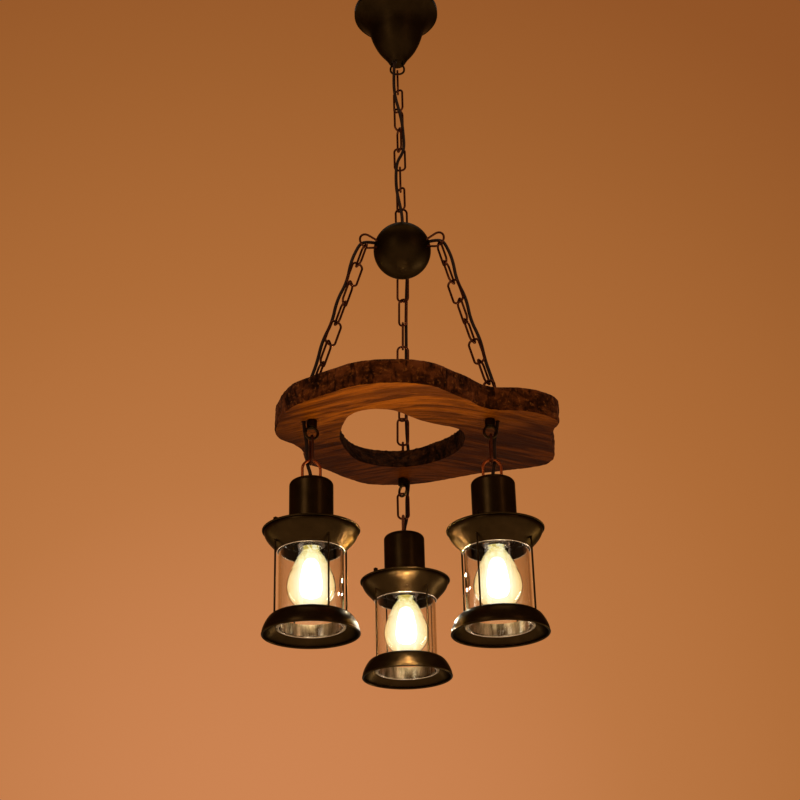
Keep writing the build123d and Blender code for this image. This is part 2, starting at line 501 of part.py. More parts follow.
# Arms: where each chain starts and ends, the eyes, the chains, the cables, and where each lantern hangs
ring_reach = SIDE_RING_RADIUS - CHAIN_WIRE
chain_reach = ring_reach + (len(LINK_TURNS["left"]) - 1) * LINK_PITCH + LINK_LINE_LENGTH
arm_length = chain_reach - (CHAIN_WIRE + EYE_WIRE) / 2 + EYE_RADIUS
upper_eyes = []
lower_eyes = []
upper_links = []
upper_cables = []
lantern_cables = []
eye_drop = LOWER_EYE_DROP + EYE_RADIUS
for arm, facing in outward.items():
    aside = sideways[arm]
    start = Vector(0, 0, BALL_Z) + facing * SIDE_RING_OUT
    foot = slab.from_local_coords(eye_spots[arm])
    along_normal = (foot - start).dot(slab.z_dir)
    eye_height = -along_normal - sqrt(along_normal**2 - (foot - start).length ** 2 + arm_length**2)
    eye = foot + slab.z_dir * eye_height
    run = (eye - start).normalized()
    out = (facing - run * facing.dot(run)).normalized()
    with BuildPart() as upper_eye:
        with Locations(Plane(eye, x_dir=facing, z_dir=facing.cross(slab.z_dir))):
            Torus(EYE_RADIUS, EYE_WIRE / 2)
        with Locations(Plane(foot, z_dir=slab.z_dir).offset(SHANK_END)):
            shank_length = eye_height - EYE_RADIUS - SHANK_END
            Cylinder(SHANK_RADIUS, shank_length, align=(Align.CENTER, Align.CENTER, Align.MIN))
        with Locations(Plane(foot, z_dir=slab.z_dir).offset(SLAB_THICKNESS)):
            Cylinder(SHOULDER_RADIUS, SHOULDER_HEIGHT, align=(Align.CENTER, Align.CENTER, Align.MIN))
    upper_eyes.append(upper_eye.part)
    turns = TURNS[arm]
    ring_facing = Vector(cos(radians(turns["eye"])), sin(radians(turns["eye"])))
    with BuildPart() as lower_eye:
        ring_middle = foot - slab.z_dir * LOWER_EYE_DROP
        with Locations(Plane(ring_middle, x_dir=ring_facing, z_dir=ring_facing.cross(slab.z_dir))):
            Torus(EYE_RADIUS, EYE_WIRE / 2)
        with Locations(Plane(foot, z_dir=slab.z_dir)):
            Cylinder(SHOULDER_RADIUS, EYE_NUT_HEIGHT, align=(Align.CENTER, Align.CENTER, Align.MAX))
            Cylinder(SHANK_RADIUS + 0.05, 2 * EYE_NUT_BORE_DEPTH, mode=Mode.SUBTRACT)
    lower_eyes.append(lower_eye.part)

    for count, turn in enumerate(LINK_TURNS[arm]):
        width = out * cos(radians(turn)) + aside * sin(radians(turn))
        link_top = start + run * (ring_reach + count * LINK_PITCH)
        upper_links.append(place_link(link_top, run, width) * chain_link)

    # The cable leaves the ball beside the loop, runs down outside the chain, and enters the slab
    points = [(7.0, CABLE_AT_BALL, 7.0), (26.0, 7.2, 6.6), (45.5, 7.0, 5.2), (60.0, 6.8, 0.5)]
    route = [Vector(0, 0, BALL_Z) + facing * r + aside * t + Vector(0, 0, z) for r, t, z in points]
    beside = [(15.0, 6.6, 5.7), (42.0, 5.8, 4.6), (75.0, 4.7, 4.4), (110.0, 6.4, 4.6), (145.0, 4.7, 4.4)]
    beside += [(180.0, 6.2, 4.6), (212.0, 4.8, 4.6), (238.0, 5.2, 5.6)]
    route += [start + run * a + out * n + aside * t for a, n, t in beside]
    hole = slab.from_local_coords(hole_spots[arm])
    route.append(hole + slab.z_dir * (SLAB_THICKNESS + 8.0))
    route.append(hole + slab.z_dir * (SLAB_THICKNESS / 2 + 0.1))
    upper_cables.append(cable_along(route, f"upper cable {arm}"))

    # Below the slab a link hangs in the eye, and the lantern's arch hangs in the link
    hang = foot - slab.z_dir * eye_drop
    link_width = Vector(cos(radians(turns["link"])), sin(radians(turns["link"])))
    link_top = hang + Vector(0, 0, (EYE_WIRE + CHAIN_WIRE) / 2 + HANG_GAP)
    hanger_link = place_link(link_top, DOWN, link_width) * chain_link
    write(hanger_link, f"hanger_link_{arm}")
    second = link_top + DOWN * LINK_LINE_LENGTH
    arch_top = second.Z + (CHAIN_WIRE + CAP_LOOP_WIRE) / 2 + HANG_GAP
    cap_z = arch_top - CAP_LOOP_RISE
    TURNS[arm]["place"] = Vector(hang.X, hang.Y, cap_z - CAP_TOP)
    print(arm, "eye height", eye_height, "eye", eye, "hinge", hang, "second hinge", second)

    # The cable comes out of the slab, runs down beside the link and turns in under the arch to the nipple
    beside_link = Vector(cos(radians(turns["cable"])), sin(radians(turns["cable"])))
    axis_spot = Vector(hang.X, hang.Y, 0)
    route = [hole + slab.z_dir * (SLAB_THICKNESS / 2 - 0.1), hole - slab.z_dir * 6.0]
    route.append(axis_spot + beside_link * 7.2 + Vector(0, 0, hang.Z - 2.0))
    route.append(axis_spot + beside_link * 7.1 + Vector(0, 0, cap_z + 40.0))
    route.append(axis_spot + beside_link * 6.6 + Vector(0, 0, cap_z + 26.0))
    route.append(axis_spot + Vector(0, 0, cap_z + 8.0))
    route.append(axis_spot + Vector(0, 0, cap_z + CABLE_END - CAP_TOP))
    lantern_cables.append(cable_along(route, f"lantern cable {arm}"))
write(Compound(children=upper_eyes), "upper_eyes")
write(Compound(children=lower_eyes), "lower_eyes")
write(Compound(children=upper_links), "upper_chains")
write(Compound(children=upper_cables), "upper_cables")
write(Compound(children=lantern_cables), "lantern_cables")

# Lantern pieces, each made once round Z with its rim at height nought and its rods on the X and Y axes
with BuildPart() as rod_holes:
    with Locations((0, 0, ROD_BOTTOM)):
        with PolarLocations(ROD_CIRCLE, 4):
            Cylinder(ROD_RADIUS + 0.1, 130, align=(Align.CENTER, Align.CENTER, Align.MIN))

skirt_inside = inset(SKIRT, SHEET)[:-1] + [(CUP_RADIUS + SHEET, SKIRT[-1][1] - SHEET)]
with BuildPart() as base_skirt:
    with BuildSketch(Plane.XZ):
        with BuildLine():
            Spline(*SKIRT)
            Polyline(
                SKIRT[-1],
                (CUP_RADIUS, SKIRT[-1][1]),
                (CUP_RADIUS, CUP_DEPTH_Z),
                (CUP_LIP_RADIUS, CUP_DEPTH_Z),
                (CUP_LIP_RADIUS, CUP_DEPTH_Z - SHEET),
                (CUP_RADIUS + SHEET, CUP_DEPTH_Z - SHEET),
                skirt_inside[-1],
            )
            Spline(*reversed(skirt_inside))
            Line(skirt_inside[0], SKIRT[0])
        make_face()
        with Locations(SKIRT_BEAD):
            Circle(SKIRT_BEAD[1])
    revolve(axis=Axis.Z)
    add(rod_holes.part, mode=Mode.SUBTRACT)

with BuildPart() as crown_bowl:
    add(spun_sheet(BOWL, SHEET))
    add(rod_holes.part, mode=Mode.SUBTRACT)

with BuildPart() as top_plate:
    with BuildSketch(Plane.XZ):
        with Locations(((PLATE_RADIUS + PLATE_HOLE_RADIUS) / 2, PLATE_BOTTOM + SHEET / 2)):
            Rectangle(PLATE_RADIUS - PLATE_HOLE_RADIUS, SHEET)
        with Locations((PLATE_RADIUS, PLATE_BOTTOM + SHEET / 2)):
            Circle(PLATE_BEAD)
    revolve(axis=Axis.Z)
    add(rod_holes.part, mode=Mode.SUBTRACT)

with BuildPart() as chimney:
    with BuildSketch(Plane.XY.offset(CUP_DEPTH_Z)):
        Circle(GLASS_RADIUS)
        Circle(GLASS_RADIUS - GLASS_WALL, mode=Mode.SUBTRACT)
    extrude(amount=GLASS_TOP - CUP_DEPTH_Z)

# Rods: a head under the skirt, and a head on the plate, but one rod is taller and takes a nut
with BuildPart() as cage_rods:
    with Locations((0, 0, ROD_BOTTOM)):
        with PolarLocations(ROD_CIRCLE, 4):
            Cylinder(ROD_HEAD_RADIUS, ROD_HEAD_HEIGHT, align=(Align.CENTER, Align.CENTER, Align.MIN))
            Cylinder(ROD_RADIUS, CAP_BOTTOM - ROD_BOTTOM, align=(Align.CENTER, Align.CENTER, Align.MIN))
    with Locations((0, 0, CAP_BOTTOM)):
        with PolarLocations(ROD_CIRCLE, 3, start_angle=-90, angular_range=180, endpoint=True):
            Cylinder(ROD_HEAD_RADIUS, ROD_HEAD_HEIGHT, align=(Align.CENTER, Align.CENTER, Align.MIN))
    with Locations((-ROD_CIRCLE, 0, CAP_BOTTOM)):
        Cylinder(ROD_RADIUS, TALL_ROD_TOP - CAP_BOTTOM, align=(Align.CENTER, Align.CENTER, Align.MIN))

with BuildPart() as rod_nut:
    with BuildSketch(Plane.XY.offset(CAP_BOTTOM)):
        with Locations((-ROD_CIRCLE, 0)):
            RegularPolygon(ROD_NUT_RADIUS, 6)
            Circle(ROD_RADIUS + 0.05, mode=Mode.SUBTRACT)
    extrude(amount=ROD_NUT_HEIGHT)

# Cap: an upturned cup with a rounded top edge and a small bead at its mouth
with BuildPart() as lantern_cap:
    with BuildSketch(Plane.XZ):
        with BuildLine():
            inner_top = CAP_TOP - SHEET
            inner_radius = CAP_RADIUS - SHEET
            FilletPolyline((0, CAP_TOP), (CAP_RADIUS, CAP_TOP), (CAP_RADIUS, CAP_BOTTOM), radius=CAP_CORNER)
            Line((CAP_RADIUS, CAP_BOTTOM), (inner_radius, CAP_BOTTOM))
            FilletPolyline(
                (inner_radius, CAP_BOTTOM),
                (inner_radius, inner_top),
                (0, inner_top),
                radius=CAP_CORNER - SHEET,
            )
            Line((0, inner_top), (0, CAP_TOP))
        make_face()
        with Locations((CAP_RADIUS, CAP_BOTTOM + CAP_BEAD)):
            Circle(CAP_BEAD)
    revolve(axis=Axis.Z)
    with Locations((0, 0, CAP_TOP)):
        Cylinder(NIPPLE_RADIUS + 0.1, 4, mode=Mode.SUBTRACT)
    with Locations((CAP_LOOP_HALF_WIDTH, 0, CAP_TOP), (-CAP_LOOP_HALF_WIDTH, 0, CAP_TOP)):
        Cylinder(CAP_LOOP_WIRE / 2 + 0.1, 4, mode=Mode.SUBTRACT)

# Arch on the cap, its two ends riveted over under the cap's top
with BuildLine(Plane.XZ) as cap_loop_line:
    FilletPolyline(
        (-CAP_LOOP_HALF_WIDTH, CAP_TOP - 3.0),
        (-CAP_LOOP_HALF_WIDTH, CAP_TOP + CAP_LOOP_RISE),
        (CAP_LOOP_HALF_WIDTH, CAP_TOP + CAP_LOOP_RISE),
        (CAP_LOOP_HALF_WIDTH, CAP_TOP - 3.0),
        radius=CAP_LOOP_HALF_WIDTH - 0.3,
    )
with BuildPart() as cap_loop:
    add(swept_wire(cap_loop_line.wire(), CAP_LOOP_WIRE))
    with Locations((CAP_LOOP_HALF_WIDTH, 0, CAP_TOP - 3.0), (-CAP_LOOP_HALF_WIDTH, 0, CAP_TOP - 3.0)):
        Cylinder(SLEEVE_RADIUS, 2.0, align=(Align.CENTER, Align.CENTER, Align.MIN))

# Nipple: a hollow threaded tube with a flange on the cap
with BuildPart() as cap_nipple:
    with Locations((0, 0, CAP_TOP)):
        Cylinder(NIPPLE_FLANGE[0], NIPPLE_FLANGE[1], align=(Align.CENTER, Align.CENTER, Align.MIN))
        Cylinder(NIPPLE_RADIUS, CAP_TOP - NIPPLE_BOTTOM, align=(Align.CENTER, Align.CENTER, Align.MAX))
        Cylinder(NIPPLE_BORE, 100, mode=Mode.SUBTRACT)

# Lamp holder: a tube round the bulb's base, a flange under the plate, a body through it and a boss
with BuildPart() as lamp_holder:
    with BuildSketch(Plane.XZ):
        with BuildLine():
            flange_bottom = PLATE_BOTTOM - HOLDER_FLANGE[1]
            Polyline(
                (0, SOCKET_TOP),
                (HOLDER_TUBE[1], SOCKET_TOP),
                (HOLDER_TUBE[1], HOLDER_TUBE[2]),
                (HOLDER_TUBE[0], HOLDER_TUBE[2]),
                (HOLDER_TUBE[0], flange_bottom),
                (HOLDER_FLANGE[0], flange_bottom),
                (HOLDER_FLANGE[0], PLATE_BOTTOM),
                (HOLDER_BODY[0], PLATE_BOTTOM),
                (HOLDER_BODY[0], HOLDER_BODY[1]),
                (HOLDER_BOSS[0], HOLDER_BODY[1]),
                (HOLDER_BOSS[0], HOLDER_BOSS[1]),
                (0, HOLDER_BOSS[1]),
                close=True,
            )
        make_face()
    revolve(axis=Axis.Z)
    with Locations((0, 0, HOLDER_BOSS[1])):
        Cylinder(NIPPLE_RADIUS + 0.05, 2 * (HOLDER_BOSS[1] - NIPPLE_BOTTOM), mode=Mode.SUBTRACT)

bulb_glass = spun_sheet(BULB, BULB_WALL)
with BuildPart() as bulb_base:
    with Locations((0, 0, BASE_BOTTOM)):
        Cylinder(BASE_RADIUS, BASE_TOP - BASE_BOTTOM, align=(Align.CENTER, Align.CENTER, Align.MIN))
        Cylinder(BULB[-1][0] + 0.1, 16, mode=Mode.SUBTRACT)
    with Locations((0, 0, BASE_TOP)):
        Cone(BASE_RADIUS - 1.0, CONTACT_RADIUS, 4.5, align=(Align.CENTER, Align.CENTER, Align.MIN))
        Cylinder(CONTACT_RADIUS, SOCKET_TOP - BASE_TOP, align=(Align.CENTER, Align.CENTER, Align.MIN))

# Each lantern: the round pieces are only moved, the others are also turned
for arm, turns in TURNS.items():
    place = Location(turns["place"])
    turned = place * Location((0, 0, 0), (0, 0, turns["rods"]))
    arched = place * Location((0, 0, 0), (0, 0, turns["arch"]))
    write(turned * base_skirt.part, f"base_skirt_{arm}")
    write(turned * crown_bowl.part, f"crown_bowl_{arm}")
    write(turned * top_plate.part, f"top_plate_{arm}")
    write(turned * cage_rods.part, f"cage_rods_{arm}")
    write(turned * rod_nut.part, f"rod_nut_{arm}")
    write(place * chimney.part, f"chimney_{arm}")
    write(arched * lantern_cap.part, f"lantern_cap_{arm}")
    write(arched * cap_loop.part, f"cap_loop_{arm}")
    write(place * cap_nipple.part, f"cap_nipple_{arm}")
    write(place * lamp_holder.part, f"lamp_holder_{arm}")
    write(place * bulb_glass, f"bulb_glass_{arm}")
    write(place * bulb_base.part, f"bulb_base_{arm}")
    print(arm, "lantern rim", turns["place"])
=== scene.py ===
import json
from math import cos, pi, radians, sin, sqrt

import bmesh
import bpy
import numpy as np
from mathutils import Matrix, Vector, noise


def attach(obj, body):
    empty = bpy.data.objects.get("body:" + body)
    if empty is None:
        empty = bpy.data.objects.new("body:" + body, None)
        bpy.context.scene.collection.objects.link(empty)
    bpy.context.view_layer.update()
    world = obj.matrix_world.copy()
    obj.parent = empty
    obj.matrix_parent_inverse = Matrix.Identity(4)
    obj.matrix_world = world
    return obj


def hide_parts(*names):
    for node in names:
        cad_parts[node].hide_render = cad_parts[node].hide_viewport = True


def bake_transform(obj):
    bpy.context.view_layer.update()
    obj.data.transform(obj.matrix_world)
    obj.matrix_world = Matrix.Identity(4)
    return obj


# The looks of the slab chandelier: materials on the carried-over pieces, a modelled slab, cables and the
# bulbs' light. Shapes are written in millimetres and scaled to metres when a mesh is made. Materials, lamps,
# the floor and the camera are written in metres.
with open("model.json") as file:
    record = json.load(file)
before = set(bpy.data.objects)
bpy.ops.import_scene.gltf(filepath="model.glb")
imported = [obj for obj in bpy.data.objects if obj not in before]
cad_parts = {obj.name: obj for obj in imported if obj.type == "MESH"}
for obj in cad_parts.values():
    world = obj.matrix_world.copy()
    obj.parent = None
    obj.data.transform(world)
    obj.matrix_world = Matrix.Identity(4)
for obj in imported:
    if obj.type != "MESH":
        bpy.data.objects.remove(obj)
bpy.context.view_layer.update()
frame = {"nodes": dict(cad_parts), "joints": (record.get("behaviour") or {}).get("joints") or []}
NODES = frame["nodes"]

ARMS = {"left": 210.0, "back": 90.0, "right": 330.0}
MM = 0.001
JOINTS = {joint["name"]: Vector(joint["pos_m"]) for joint in frame["joints"]}


# Materials
class Paint:
    """A material being built: one Principled shader and short calls for the nodes that feed it."""

    def __init__(self, name, **values):
        self.material = bpy.data.materials.new(name)
        self.material.use_nodes = True
        self.tree = self.material.node_tree
        self.shader = self.tree.nodes["Principled BSDF"]
        for socket, value in values.items():
            self.shader.inputs[socket.replace("_", " ")].default_value = value
        self.place = self.tree.nodes.new("ShaderNodeTexCoord").outputs["Object"]

    def link(self, source, target):
        self.tree.links.new(source, target)

    def mapped(self, scale=(1, 1, 1), turn=(0, 0, 0), source=None):
        node = self.tree.nodes.new("ShaderNodeMapping")
        node.inputs["Scale"].default_value = scale
        node.inputs["Rotation"].default_value = turn
        self.link(source or self.place, node.inputs["Vector"])
        return node.outputs["Vector"]

    def split(self, source):
        node = self.tree.nodes.new("ShaderNodeSeparateXYZ")
        self.link(source, node.inputs["Vector"])
        return node.outputs["X"], node.outputs["Y"], node.outputs["Z"]

    def join(self, x, y, z):
        node = self.tree.nodes.new("ShaderNodeCombineXYZ")
        for value, socket in zip((x, y, z), node.inputs):
            self.link(value, socket)
        return node.outputs["Vector"]

    def noise(self, scale, detail=4.0, rough=0.55, distortion=0.0, source=None):
        node = self.tree.nodes.new("ShaderNodeTexNoise")
        node.inputs["Scale"].default_value = scale
        node.inputs["Detail"].default_value = detail
        node.inputs["Roughness"].default_value = rough
        node.inputs["Distortion"].default_value = distortion
        self.link(source or self.place, node.inputs["Vector"])
        return node.outputs["Fac"]

    def ramp(self, source, *stops):
        """Colours or levels by a value; stops are (position, colour or level)."""
        node = self.tree.nodes.new("ShaderNodeValToRGB")
        elements = node.color_ramp.elements
        while len(elements) < len(stops):
            elements.new(0.5)
        for element, (position, colour) in zip(elements, stops):
            element.position = position
            level = colour if isinstance(colour, tuple) else (colour,) * 3
            element.color = (*level, 1.0)
        self.link(source, node.inputs["Fac"])
        return node.outputs["Color"]

    def mix(self, factor, a, b, how="MIX"):
        """Mixes two colours, each a socket or plain numbers."""
        node = self.tree.nodes.new("ShaderNodeMix")
        node.data_type = "RGBA"
        node.blend_type = how
        for value, socket in ((factor, node.inputs[0]), (a, node.inputs[6]), (b, node.inputs[7])):
            if isinstance(value, bpy.types.NodeSocket):
                self.link(value, socket)
            elif isinstance(value, tuple):
                socket.default_value = (*value, 1.0)
            else:
                socket.default_value = value
        return node.outputs[2]

    def math(self, operation, a, b=0.0):
        node = self.tree.nodes.new("ShaderNodeMath")
        node.operation = operation
        for value, socket in ((a, node.inputs[0]), (b, node.inputs[1])):
            if isinstance(value, bpy.types.NodeSocket):
                self.link(value, socket)
            else:
                socket.default_value = value
        return node.outputs[0]

    def colour(self, source):
        self.link(source, self.shader.inputs["Base Color"])

    def roughness(self, source, low, high):
        self.link(self.ramp(source, (0.25, low), (0.75, high)), self.shader.inputs["Roughness"])

    def bump(self, source, distance, strength=1.0):
        node = self.tree.nodes.new("ShaderNodeBump")
        node.inputs["Strength"].default_value = strength
        node.inputs["Distance"].default_value = distance
        self.link(source, node.inputs["Height"])
        self.link(node.outputs["Normal"], self.shader.inputs["Normal"])


def metal(name, dark, light, rough, metallic, grain=900.0, depth=0.00003, wear=None, **values):
    """Metal, or plastic where metallic is 0: two close tones in patches, uneven gloss and a fine surface."""
    paint = Paint(name, Metallic=metallic, **values)
    tone = paint.ramp(paint.noise(38.0, 5.0, 0.6, 0.3), (0.3, dark), (0.7, light))
    if wear:
        spots = paint.ramp(paint.noise(160.0, 6.0, 0.7), (0.6, 0.0), (0.72, 1.0))
        tone = paint.mix(spots, tone, wear)
    paint.colour(tone)
    paint.roughness(paint.noise(120.0, 5.0, 0.6), *rough)
    paint.bump(paint.noise(grain, 3.0), depth)
    return paint.material


BRONZE_DARK = (0.028, 0.0150, 0.0050)
BRONZE_LIGHT = (0.047, 0.0255, 0.0088)
BRONZE_EDGE = (0.416, 0.448, 0.468, 1.0)
BRONZE_ROUGH = (0.27, 0.36)
# The skirt's cup lies inside this distance from the lantern's axis; its inner wall is painted bright there,
# as the bulb's light
LIT_CUP_RADIUS = 0.0419
black_metal = metal("black_bronze", BRONZE_DARK, BRONZE_LIGHT, BRONZE_ROUGH, 1.0, Specular_Tint=BRONZE_EDGE)
dull_black = metal("dull_black", (0.020, 0.0105, 0.0032), (0.032, 0.0170, 0.0056), (0.38, 0.48), 1.0,
                   Specular_Tint=(0.42, 0.446, 0.4625, 1.0))


def skirt_metal(arm):
    """The black finish, but brighter brushed metal on the cup's inner wall round the glass: a painted lit
    copy of the finish, standing in for the bulb's light there.
    """
    paint = Paint(f"skirt_bronze_{arm}", Metallic=1.0, Specular_Tint=BRONZE_EDGE)
    axis = JOINTS[f"link_swing_{arm}"]
    x, y, _ = paint.split(paint.place)
    x = paint.math("SUBTRACT", x, axis.x)
    y = paint.math("SUBTRACT", y, axis.y)
    away = paint.math("SQRT", paint.math("ADD", paint.math("MULTIPLY", x, x), paint.math("MULTIPLY", y, y)))
    inside = paint.math("LESS_THAN", away, LIT_CUP_RADIUS)
    tone = paint.ramp(paint.noise(38.0, 5.0, 0.6, 0.3), (0.3, BRONZE_DARK), (0.7, BRONZE_LIGHT))
    brushed = paint.noise(70.0, 4.0, 0.6, 0.4, paint.mapped((1.0, 1.0, 0.25)))
    # Painted light: the cup's inner wall is coloured bright where the bulb lights it
    lit_wall = paint.ramp(brushed, (0.36, (0.10, 0.055, 0.02)), (0.60, (0.80, 0.62, 0.40)))
    paint.colour(paint.mix(inside, tone, lit_wall))
    paint.roughness(paint.noise(120.0, 5.0, 0.6), *BRONZE_ROUGH)
    paint.bump(paint.noise(900.0, 3.0), 0.00003)
    return paint.material


screw_metal = metal("black_screw_steel", (0.008, 0.005, 0.003), (0.014, 0.009, 0.006), (0.3, 0.45), 0.0)
chain_metal = metal("dark_bronze", (0.062, 0.0175, 0.0078), (0.130, 0.037, 0.0160), (0.28, 0.42), 1.0,
                    wear=(0.18, 0.060, 0.026), Specular_Tint=(0.40, 0.4575, 0.464, 1.0))
copper = metal("worn_copper", (0.33, 0.070, 0.016), (0.52, 0.125, 0.032), (0.22, 0.36), 1.0,
               wear=(0.08, 0.024, 0.009), Specular_Tint=(0.8, 0.57, 0.51, 1.0))
dark_copper = metal("dark_copper", (0.17, 0.052, 0.022), (0.28, 0.095, 0.04), (0.26, 0.4), 0.85,
                    wear=(0.045, 0.017, 0.008))
zinc = metal("zinc_plate", (0.45, 0.45, 0.46), (0.62, 0.61, 0.6), (0.3, 0.5), 1.0)
bulb_base_metal = metal("bulb_base_metal", (0.62, 0.62, 0.6), (0.8, 0.8, 0.78), (0.18, 0.3), 1.0)
black_plastic = metal("black_plastic", (0.012, 0.006, 0.002), (0.020, 0.011, 0.004), (0.3, 0.45), 0.0,
                      grain=2500.0, Specular_IOR_Level=0.12)
holder_brown = metal("holder_brown", (0.050, 0.021, 0.008), (0.10, 0.044, 0.017), (0.3, 0.45), 0.0,
                     grain=2500.0, Specular_IOR_Level=0.12)
# Painted highlight: the rolled lips' bright metal stands in for the bulb's light catching them
lip_highlight_metal = metal("lip_highlight_metal", (0.50, 0.36, 0.24), (0.85, 0.70, 0.54), (0.14, 0.26), 1.0)
pale_plastic = metal("pale_plastic", (0.72, 0.7, 0.64), (0.8, 0.78, 0.73), (0.4, 0.55), 0.0, grain=2500.0)
cable_sheath = metal("cable_sheath", (0.012, 0.0050, 0.0025), (0.022, 0.0095, 0.0048), (0.38, 0.5), 0.0,
                     grain=3000.0, Specular_IOR_Level=0.03)


# Wood: the grain runs along X and arches round the slab's near edge, in streaks of several widths
WOOD_GLOSS = (1.0, 0.42, 0.10, 1.0)
WOOD_SHINE = 0.015
SLAB_TILT = radians(1.26)
# The arch of the grain: how round it is in the middle, and its slope beside that
ARCH_ROUND = 0.0026
ARCH_SLOPE = 0.55
# Colours multiplied over the wood, how far from the ball's axis each starts, and how fast it grows: painted
# shade behind the lit near edge, and a darker left end
EDGE_SHADE = (0.19, 0.150, 0.09)
EDGE_SHADE_START, EDGE_SHADE_RATE = 0.16, 5.0
LEFT_END_TONE = (0.42, 0.38, 0.34)
LEFT_END_START, LEFT_END_RATE = 0.162, 18.0


def wood_face(name, light, middle, dark, darkening):
    """Sawn and oiled wood; darkening, from 0 to 1, sets the painted shade away from the near edge and the
    darker left end.
    """
    paint = Paint(name, Specular_IOR_Level=WOOD_SHINE, Specular_Tint=WOOD_GLOSS)
    x, y, z = paint.split(paint.mapped(turn=(0.0, SLAB_TILT, 0.0)))
    bend = paint.math("SQRT", paint.math("ADD", paint.math("MULTIPLY", x, x), ARCH_ROUND))
    arched = paint.join(x, paint.math("SUBTRACT", y, paint.math("MULTIPLY", bend, ARCH_SLOPE)), z)
    wide = paint.noise(7.0, 4.0, 0.55, 0.6, paint.mapped((1.0, 5.0, 5.0), source=arched))
    streaks = paint.noise(9.0, 6.0, 0.62, 0.9, paint.mapped((1.0, 9.0, 9.0), source=arched))
    fine = paint.noise(38.0, 5.0, 0.66, 0.4, paint.mapped((1.0, 12.0, 12.0), source=arched))
    pores = paint.noise(140.0, 3.0, 0.6, 0.2, paint.mapped((1.0, 15.0, 15.0), source=arched))
    tone = paint.ramp(streaks, (0.40, dark), (0.48, middle), (0.58, light))
    tone = paint.mix(paint.ramp(wide, (0.40, 0.75), (0.52, 0.0)), tone, dark)
    tone = paint.mix(paint.ramp(fine, (0.38, 0.45), (0.50, 0.0)), tone, dark)
    tone = paint.mix(paint.ramp(pores, (0.36, 0.4), (0.46, 0.0)), tone, tuple(0.5 * c for c in dark))
    # Painted shade: the wood darkens away from the near edge, as the light from the front falls off
    slant = paint.math("ADD", y, paint.math("MULTIPLY", x, 0.18))
    depth = paint.math("ADD", slant, paint.math("MULTIPLY", wide, 0.09))
    from_edge = paint.math("MULTIPLY", paint.math("ADD", depth, EDGE_SHADE_START), EDGE_SHADE_RATE)
    amount = paint.ramp(from_edge, (0.12, 0.0), (0.5, 0.15), (1.0, 1.0))
    tone = paint.mix(paint.math("MULTIPLY", amount, darkening), tone, EDGE_SHADE, "MULTIPLY")
    leftwards = paint.math("ADD", paint.math("MULTIPLY", x, -1.0), paint.math("MULTIPLY", wide, 0.05))
    past_end = paint.math("MULTIPLY", paint.math("SUBTRACT", leftwards, LEFT_END_START), LEFT_END_RATE)
    tone = paint.mix(paint.ramp(past_end, (0.0, 0.0), (0.7, darkening)), tone, LEFT_END_TONE, "MULTIPLY")
    paint.colour(tone)
    paint.roughness(fine, 0.62, 0.42)
    paint.bump(paint.mix(0.5, streaks, fine), 0.0010)
    return paint.material


underside = wood_face(
    "wood_underside", light=(0.50, 0.128, 0.0036), middle=(0.31, 0.074, 0.0022), dark=(0.12, 0.026, 0.0010),
    darkening=1.0
)
topside = wood_face(
    "wood_top", light=(0.26, 0.075, 0.010), middle=(0.15, 0.038, 0.005), dark=(0.045, 0.011, 0.002),
    darkening=0.3
)


def bark(name, dark, middle, light, flecks):
    """Rough edge of the slab: mottled patches, furrows up and down, and small lighter flecks."""
    paint = Paint(name, Specular_IOR_Level=WOOD_SHINE, Specular_Tint=WOOD_GLOSS)
    lumps = paint.noise(42.0, 7.0, 0.66, 0.7, paint.mapped((1.0, 1.0, 1.4)))
    furrows = paint.noise(130.0, 5.0, 0.6, 0.5, paint.mapped((1.0, 1.0, 0.35)))
    specks = paint.noise(190.0, 5.0, 0.6, 0.4)
    tone = paint.ramp(lumps, (0.38, dark), (0.5, middle), (0.62, light))
    tone = paint.mix(paint.ramp(specks, (0.57, 0.0), (0.66, 0.7)), tone, flecks)
    tone = paint.mix(paint.ramp(furrows, (0.36, 0.85), (0.48, 0.0)), tone, tuple(0.45 * c for c in dark))
    paint.colour(tone)
    paint.roughness(lumps, 0.85, 0.6)
    paint.bump(paint.mix(0.4, lumps, furrows), 0.005)
    return paint.material


bark_edge = bark(
    "wood_bark", dark=(0.012, 0.0028, 0.0006), middle=(0.038, 0.0080, 0.0013), light=(0.078, 0.0168, 0.003),
    flecks=(0.14, 0.037, 0.006)
)
hole_wall = bark(
    "wood_hole", dark=(0.006, 0.0015, 0.0003), middle=(0.016, 0.0040, 0.0006), light=(0.030, 0.0075, 0.0010),
    flecks=(0.048, 0.0125, 0.002)
)


def clear(name, colour, waviness, **values):
    """Clear glass with a slightly uneven gloss and surface."""
    paint = Paint(name, Base_Color=(*colour, 1.0), Transmission_Weight=1.0, IOR=1.45, **values)
    paint.roughness(paint.noise(25.0, 3.0), 0.012, 0.045)
    paint.bump(paint.noise(18.0, 2.0), 0.0002, waviness)
    return paint.material


glass = clear("clear_glass", (0.985, 0.98, 0.965), 0.05, Specular_IOR_Level=0.3)
bulb_shell = clear("bulb_clear_glass", (1.0, 0.975, 0.92), 0.25)


